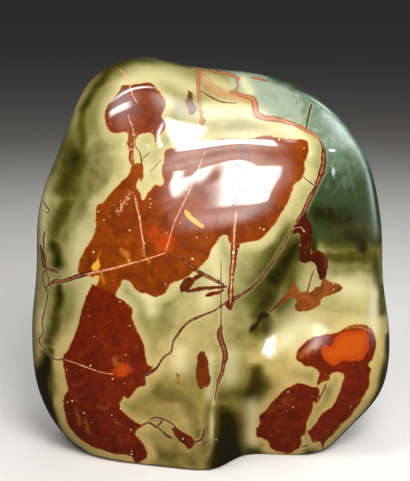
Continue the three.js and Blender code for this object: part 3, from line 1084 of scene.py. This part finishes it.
# %% grain and specks
def grain(size_mm, detail=3.0, roughness=0.55, warp=0.0):
    """Cloudy noise whose lumps are about this size."""
    node = nodes.new("ShaderNodeTexNoise")
    links.new(where, node.inputs["Vector"])
    node.inputs["Scale"].default_value = 1000 / size_mm
    node.inputs["Detail"].default_value = detail
    node.inputs["Roughness"].default_value = roughness
    node.inputs["Distortion"].default_value = warp
    return node.outputs["Fac"]


def specks(spacing_mm, radius, share):
    """Small round specks, in this share of the cells of a loose grid."""
    node = nodes.new("ShaderNodeTexVoronoi")
    links.new(where, node.inputs["Vector"])
    node.inputs["Scale"].default_value = 1000 / spacing_mm
    chance = nodes.new("ShaderNodeSeparateColor")
    links.new(node.outputs["Color"], chance.inputs[0])
    kept = calc("LESS_THAN", chance.outputs[0], share)
    size = calc("MULTIPLY", chance.outputs[1], radius)
    return calc("MULTIPLY", kept, calc("LESS_THAN", node.outputs["Distance"], size))


ragged = calc("MULTIPLY", calc("SUBTRACT", grain(3.2, detail=2), 0.5), 1.3)
ragged = stirred(ragged, grain(0.9, detail=2), 0.55)
print("ragged edges wander by up to about half a millimetre")

# %% the ground, its clouds and their painted shade
CREAM = colour(168, 158, 106)
PALE_OLIVE = colour(114, 110, 58)
HALO = colour(188, 178, 128)
OLIVE = colour(78, 75, 18)
DEEP_OLIVE_AND_SHADE = colour(28, 25, 0)
clouds = grain(26, detail=4, warp=0.4)
fine_clouds = grain(5, detail=4)
ground = blend(fade(clouds, 0.3, 0.66), CREAM, PALE_OLIVE)
ground = blend(fade(fine_clouds, 0.45, 0.8, 0.0, 0.35), ground, PALE_OLIVE)
ground = blend(fade(stirred(read("halo"), clouds, 4.0), 5.0, 0.5, 0.0, 0.6), ground, HALO)
both_clouds = calc("SUBTRACT", calc("ADD", clouds, fine_clouds), 1.0)
# the olive carries painted shade and painted dark reflection as well as the stone's own olive
olive_and_shade = calc("ADD", read("olive_and_shade"), calc("MULTIPLY", both_clouds, 0.4))
ground = blend(fade(olive_and_shade, 0.05, 0.7), ground, OLIVE)
ground = blend(fade(olive_and_shade, 0.5, 1.0), ground, DEEP_OLIVE_AND_SHADE)
print("ground: cream with olive clouds;", len(nodes), "nodes")

# %% darker and browner towards the foot: painted shade
# painted shade: the ground is darkened and warmed below this height
FOOT_SHADE_TINT = colour(255, 236, 206)
TINT_STARTS, TINT_IS_WHOLE = 0.08, 0.03
height = nodes.new("ShaderNodeSeparateXYZ")
links.new(where, height.inputs[0])
ground = blend(fade(height.outputs[2], TINT_STARTS, TINT_IS_WHOLE), ground, FOOT_SHADE_TINT, "MULTIPLY")
print("the ground is tinted below", TINT_STARTS, "m")

# %% the green side
SAGE = colour(136, 148, 128)
GREEN = colour(90, 110, 88)
DARK_GREEN = colour(43, 58, 30)
PALE_CREAM = colour(210, 201, 154)
green_noise = grain(6, detail=6, roughness=0.65, warp=0.8)
# the depth of the green includes painted dark reflection along the top right rim
depth = stirred(read("dark_green_and_reflection"), green_noise, 1.2)
green_stone = blend(fade(depth, 0.0, 0.45), SAGE, GREEN)
green_stone = blend(fade(depth, 0.4, 1.0), green_stone, DARK_GREEN)
green_stone = blend(fade(depth, 1.1, 1.9), green_stone, DEEP_OLIVE_AND_SHADE)
ground = blend(fade(stirred(read("green"), green_noise, 4.0), 5.0, -9.0), ground, green_stone)
# the pale clouds include painted sheen and a painted highlight on the prow's crest
ground = blend(calc("MULTIPLY", read("pale"), 0.8), ground, PALE_CREAM)
print("green side and pale clouds laid over the ground;", len(nodes), "nodes")

# %% [markdown]
# ## Brown stone
# The brown isn't flat: it swirls between maroon and a lighter rust, with orange where a core glows
# through, and it ends in a thin ochre rim. Every edge gets the same ragged noise, so that rim, core and
# patch wander together.

# %% the brown itself
RIM = colour(150, 84, 26)
ORANGE = colour(156, 54, 2)
swirl = grain(11, detail=5, roughness=0.6, warp=1.6)
patch = blend(fade(swirl, 0.42, 0.68, 0.0, 0.55), read("tint", "Color"), MAROON)
patch = blend(fade(swirl, 0.42, 0.25, 0.0, 0.35), patch, RIM)
patch = blend(fade(grain(2.2, detail=3), 0.55, 0.8, 0.0, 0.3), patch, RIM)
glow = stirred(read("glow"), grain(2.0, detail=5, roughness=0.7), 1.2)
patch = blend(fade(glow, 0.25, 0.8, 0.0, 0.9), patch, ORANGE)
print("brown with soft cores;", len(nodes), "nodes")

# %% cores, rims and bars in the brown
BRIGHT_ORANGE = colour(168, 74, 12)
OCHRE = colour(206, 150, 52)
core_edge = calc("ADD", read("orange"), calc("MULTIPLY", ragged, 1.2))
patch = blend(fade(core_edge, 0.5, -0.3), patch, ORANGE)
patch = blend(fade(core_edge, -0.6, -2.6, 0.0, 0.7), patch, BRIGHT_ORANGE)
large_edge = calc("ADD", read("halo"), ragged)
rim = calc("MULTIPLY", fade(large_edge, -0.6, 0.0, 0.0, 0.5), fade(large_edge, 0.5, 0.1))
patch = blend(rim, patch, RIM)
patch = blend(fade(calc("ADD", read("ochre"), ragged), 0.3, -0.4), patch, OCHRE)
print("cores, rims and bars;", len(nodes), "nodes")

# %% smears and specks in the brown
AMBER = colour(172, 104, 32)
SPECK = colour(240, 214, 150)
patch = blend(fade(stirred(read("smear"), grain(1.8, detail=4), 0.7), 0.1, 0.95, 0.0, 0.9), patch, AMBER)
patch = blend(calc("MULTIPLY", specks(2.0, 0.2, 0.35), fade(grain(13), 0.4, 0.6)), patch, SPECK)
print("smears and specks;", len(nodes), "nodes")

# %% lay the brown on the ground
stone_colour = blend(fade(large_edge, 0.55, 0.0, 0.0, 0.3), ground, OCHRE)
brown_edge = calc("ADD", read("brown"), ragged)
stone_colour = blend(fade(brown_edge, 0.1, -0.1), stone_colour, patch)
print("patches laid over the ground")

# %% the salmon fold and the crumbs
COPPER = colour(170, 108, 70)
CRUMB = colour(204, 146, 104)
across_fold = calc("MULTIPLY", read("salmon"), 5.0)
stripes = calc("SINE", calc("ADD", across_fold, calc("MULTIPLY", grain(4, detail=3), 9.0)))
folded = fade(calc("ADD", read("salmon"), calc("MULTIPLY", ragged, 1.5)), 0.4, -0.8, 0.0, 0.6)
stone_colour = blend(calc("MULTIPLY", folded, fade(stripes, -1.0, 0.8, 0.55, 1.0)), stone_colour, COPPER)
crumbled = stirred(read("crumbs"), grain(0.8, detail=3), 2.2)
stone_colour = blend(fade(crumbled, 0.75, 1.15, 0.0, 0.8), stone_colour, CRUMB)
print("fold and crumbs;", len(nodes), "nodes")

# %% [markdown]
# ## The veins' colours
# A vein's line is found inside the triangles: the stored side changes sign across it, so its size is the
# distance from the line, and dividing by the half width gives 1 at the vein's edge. Noise makes the line
# sway by up to half its width. A dark vein has a broken copper heart, and in the green it is green all
# through.

# %% how much of a vein shows
VEIN_FULLNESS = 0.85
THINNEST = 0.02


def line(name, wobble):
    """How much of a vein shows, from 0 to 1, and how far across it a point lies, from 0 at its middle to 1."""
    half = calc("MAXIMUM", calc("MULTIPLY", read(name + "_half"), VEIN_FULLNESS), THINNEST)
    sway = calc("ADD", calc("MULTIPLY", half, 0.5), wobble)
    off = calc("ADD", read(name + "_side"), calc("MULTIPLY", ragged, sway))
    across = calc("DIVIDE", calc("ABSOLUTE", off), half)
    reach = calc("SUBTRACT", read(name + "_gap"), half)
    shows = calc("MULTIPLY", fade(across, 1.25, 0.8), fade(reach, 1.2, 0.5))
    return shows, across


broken = grain(1.7, detail=4, roughness=0.7)
vein, across_vein = line("vein", 0.2)
print("the thinnest vein is", 2 * THINNEST, "mm wide")

# %% dark veins
VEIN_DARK = colour(56, 18, 8)
VEIN_HEART = colour(152, 92, 58)
heart = calc("MULTIPLY", fade(across_vein, 0.65, 0.25), fade(broken, 0.38, 0.6, 0.1, 0.9))
vein_colour = blend(heart, VEIN_DARK, VEIN_HEART)
vein_colour = blend(fade(read("green"), -18.5, -20.0, 0.0, 0.9), vein_colour, DARK_GREEN)
off_vein = calc("SUBTRACT", read("vein_gap"), read("vein_half"))
beside = calc("MULTIPLY", fade(off_vein, 0.9, 0.0), fade(read("brown"), 0.2, 0.6, 0.0, 0.22))
stone_colour = blend(beside, stone_colour, HALO)
stone_colour = blend(vein, stone_colour, vein_colour)
print("dark veins laid over all;", len(nodes), "nodes")

# %% copper lines, pale hairs and loose specks
DARK_COPPER = colour(118, 58, 30)
HAIR = colour(214, 150, 108)
LOOSE_SPECK = colour(226, 220, 180)
copper, across_copper = line("copper", 0.4)
worn = calc("ADD", across_copper, calc("MULTIPLY", broken, 1.6))
copper_colour = blend(fade(worn, 0.9, 1.7), COPPER, DARK_COPPER)
stone_colour = blend(calc("MULTIPLY", copper, 0.92), stone_colour, copper_colour)
hair, _ = line("hair", 0.2)
hair_shows = calc("MULTIPLY", hair, fade(grain(0.9, detail=3), 0.35, 0.6, 0.15, 0.9))
stone_colour = blend(hair_shows, stone_colour, HAIR)
stone_colour = blend(calc("MULTIPLY", specks(6.5, 0.09, 0.3), 0.7), stone_colour, LOOSE_SPECK)
print("all veins laid;", len(nodes), "nodes in the finish")

# %% [markdown]
# ## A chain of pits
# Ten pinholes run down through the great flash, where they show as dark dots: their dark colour is painted
# shade, and their roughness dulls the flash. They are too small for the mesh, so each is a small ball in
# the material, placed where the camera sees it on the skin.

# %% where a pit lies on the skin
PITS_FACE = 0.5
front = triangles[(normals_of(skin, triangles)[triangles] @ to_front > PITS_FACE).all(1)]
a, b, c = in_photo(skin)[front].transpose(1, 0, 2)


def on_face(place):
    """The point of the show face that is seen at a place of the photograph."""
    def turn(p, q):
        return p[:, 0] * q[:, 1] - p[:, 1] * q[:, 0]

    shares = np.stack([turn(b - place, c - place), turn(c - place, a - place), turn(a - place, b - place)], 1)
    shares = shares / shares.sum(1, keepdims=True)
    here = shares.min(1).argmax()
    return shares[here] @ skin[front[here]]


print("triangles that may hold a pit:", len(front))

# %% the pits
PITS = [
    (236.5, 163.5), (239.5, 166), (240, 172), (237, 177), (238.5, 184), (240, 190), (236, 199), (234, 201),
    (237, 202.5), (233, 205),
]
PIT_RADIUS = 0.0003
# painted shade in the pinholes
PIT_SHADE = colour(60, 40, 30)
pitted = 0.0
for pit in PITS:
    gap = nodes.new("ShaderNodeVectorMath")
    gap.operation = "DISTANCE"
    links.new(where, gap.inputs[0])
    gap.inputs[1].default_value = on_face(np.array(pit))
    pitted = calc("MAXIMUM", pitted, fade(gap.outputs["Value"], PIT_RADIUS * 1.2, PIT_RADIUS * 0.8))
stone_colour = blend(pitted, stone_colour, PIT_SHADE)
links.new(stone_colour, surface.inputs["Base Color"])
print("pits:", len(PITS))

# %% [markdown]
# ## The polish
# The flashes have crisp edges with a faint bloom around them. Crisp edges come from the low roughness.
# The bloom is a thin, rougher coat over it. A slight bump keeps the reflections from looking machined,
# and a few specks are left duller.

# %% the polish
QUARTZ_IOR = 1.54
BLOOM, BLOOM_ROUGHNESS = 0.16, 0.32
SMOOTHEST, ROUGHEST = 0.02, 0.05
surface.inputs["IOR"].default_value = QUARTZ_IOR
surface.inputs["Coat Weight"].default_value = BLOOM
surface.inputs["Coat Roughness"].default_value = BLOOM_ROUGHNESS
dull_specks = calc("MULTIPLY", specks(2.6, 0.12, 0.2), 0.25)
gloss = calc("ADD", fade(grain(9, detail=3), 0.3, 0.8, SMOOTHEST, ROUGHEST), dull_specks)
links.new(calc("MAXIMUM", gloss, calc("MULTIPLY", pitted, 0.9)), surface.inputs["Roughness"])
print("roughness about", SMOOTHEST, "to", ROUGHEST, "and index of refraction", QUARTZ_IOR)

# %% a slight bump
BUMP_STRENGTH = 0.12
BUMP_HEIGHT = 0.0004
bump = nodes.new("ShaderNodeBump")
bump.inputs["Strength"].default_value = BUMP_STRENGTH
bump.inputs["Distance"].default_value = BUMP_HEIGHT
dents = calc("MULTIPLY", specks(5.0, 0.07, 0.25), 0.6)
links.new(calc("SUBTRACT", grain(14, detail=1), dents), bump.inputs["Height"])
links.new(bump.outputs["Normal"], surface.inputs["Normal"])
mesh.materials.append(finish)
print("the finish has", len(nodes), "nodes")

# %% [markdown]
# ## The floor
# The stone stands on plain pale paper, a disc so wide that its edge lies near the horizon. The paper
# lights the stone from below, but it is kept out of the stone's mirror image, because a white floor would
# wash out the dark lower edge.

# %% the floor
FLOOR_RADIUS = 30.0
PAPER = (0.75, 0.74, 0.72, 1)
PAPER_ROUGHNESS = 0.7
floor_maker = bmesh.new()
bmesh.ops.create_circle(floor_maker, cap_ends=True, segments=96, radius=FLOOR_RADIUS)
floor_mesh = bpy.data.meshes.new("floor")
floor_maker.to_mesh(floor_mesh)
floor_maker.free()
floor = bpy.data.objects.new("floor", floor_mesh)
bpy.context.scene.collection.objects.link(floor)
floor.visible_glossy = False
paper = bpy.data.materials.new("pale_paper")
paper.use_nodes = True
paper_surface = paper.node_tree.nodes["Principled BSDF"]
paper_surface.inputs["Base Color"].default_value = PAPER
paper_surface.inputs["Roughness"].default_value = PAPER_ROUGHNESS
floor_mesh.materials.append(paper)
print("floor:", FLOOR_RADIUS, "m in radius")

# %% [markdown]
# ## The lamps
# A polished stone shows its lamps, so they are what draws its form. A broad softbox above the camera
# makes the great white flash on the sail, and wide dim ones around it make the haze that surrounds the
# flash. Narrow ones on the left make the bar and the arc on the cap. Cool ones on the right make the
# sheen on the green side, and two behind light the back. A plain area lamp has hard edges, so the light's
# own nodes fade its face towards its edges.


# %% a softbox
def work_in(tree):
    """Makes the short names above work in another set of nodes."""
    global nodes, links
    nodes, links = tree.nodes, tree.links


def softbox(name, turn, height, distance, size, glow, tint, soft=0.3, roll=0):
    """A lamp with soft edges that looks at the stone: turn is degrees to the right of the camera and height
    degrees up. Its glow is how bright its face is, and roll tilts it in its own plane."""
    lamp = bpy.data.lights.new(name, "AREA")
    lamp.shape = "RECTANGLE"
    lamp.size, lamp.size_y = size
    lamp.energy = math.pi * size[0] * size[1] * glow
    lamp.color = tint
    lamp.use_nodes = True
    work_in(lamp.node_tree)
    spot = nodes.new("ShaderNodeSeparateXYZ")
    links.new(nodes.new("ShaderNodeNewGeometry").outputs["Parametric"], spot.inputs[0])
    strength = 1.0
    for along in (spot.outputs[0], spot.outputs[1]):
        from_edge = calc("SUBTRACT", 0.5, calc("ABSOLUTE", calc("SUBTRACT", along, 0.5)))
        strength = calc("MULTIPLY", strength, fade(from_edge, 0.0, soft))
    links.new(strength, nodes["Emission"].inputs["Strength"])
    a, e = math.radians(turn), math.radians(height)
    way = Vector((math.sin(a) * math.cos(e), -math.cos(a) * math.cos(e), math.sin(e)))
    holder = bpy.data.objects.new(name, lamp)
    holder.location = AIM + way * distance
    tilted = way.to_track_quat("Z", "Y") @ Quaternion((0, 0, 1), math.radians(roll))
    holder.rotation_euler = tilted.to_euler()
    holder.visible_camera = False
    bpy.context.scene.collection.objects.link(holder)
    return holder


WARM, COOL, PLAIN = (1.0, 0.96, 0.92), (0.84, 0.93, 1.0), (1.0, 1.0, 1.0)
print("lamps look at", tuple(round(v, 4) for v in AIM))

# %% the key and its haze
softbox("key", 14.2, 38.4, 0.62, (0.278, 0.202), 27, WARM, soft=0.16)
softbox("low_haze", 6, 23, 0.66, (0.34, 0.17), 5, WARM, soft=0.5)
softbox("key_haze", 15, 32, 0.66, (0.54, 0.4), 5.7, WARM, soft=0.5)
softbox("top_haze", 14, 54, 0.66, (0.44, 0.24), 9, WARM, soft=0.5)
print("lamps so far:", len(bpy.data.lights))

# %% lamps of the cap and the side
softbox("cap_bar", -41.5, 41.2, 0.62, (0.27, 0.062), 21, PLAIN, roll=34)
softbox("cap_arc", -34, 57, 0.62, (0.5, 0.035), 24, PLAIN, soft=0.4, roll=38)
softbox("side", 101, 32, 0.62, (0.56, 0.36), 7, COOL, soft=0.5)
softbox("side_low", 99, 10, 0.62, (0.36, 0.44), 4.5, COOL, soft=0.5)
softbox("side_spot", 76.75, 22.7, 0.62, (0.05, 0.035), 40, COOL, soft=0.5)
print("lamps so far:", len(bpy.data.lights))

# %% small lamps, and the lamps behind
softbox("brow_haze", 45, 44, 0.64, (0.2, 0.16), 7, WARM, soft=0.5)
softbox("streak", -6, 39.6, 0.62, (0.13, 0.022), 22, PLAIN, soft=0.4, roll=57)
softbox("cap_haze", -40, 46, 0.66, (0.42, 0.34), 4.5, PLAIN, soft=0.5)
softbox("back_window", 138, 32, 0.7, (0.3, 0.24), 5, COOL, soft=0.5)
back_fill = softbox("back_fill", 190, 45, 0.7, (0.5, 0.4), 6, PLAIN, soft=0.5)
# mirrored in the top edge, it would draw a white line there
back_fill.visible_glossy = False

# %% a dim room
ROOM = (0.5, 0.5, 0.52, 1)
ROOM_GLOW = 0.06
world = bpy.data.worlds.new("dim_room")
world.use_nodes = True
background = world.node_tree.nodes["Background"]
background.inputs["Color"].default_value = ROOM
background.inputs["Strength"].default_value = ROOM_GLOW
bpy.context.scene.world = world
bpy.context.scene.view_settings.view_transform = "Standard"
print("the room glows at", ROOM_GLOW)
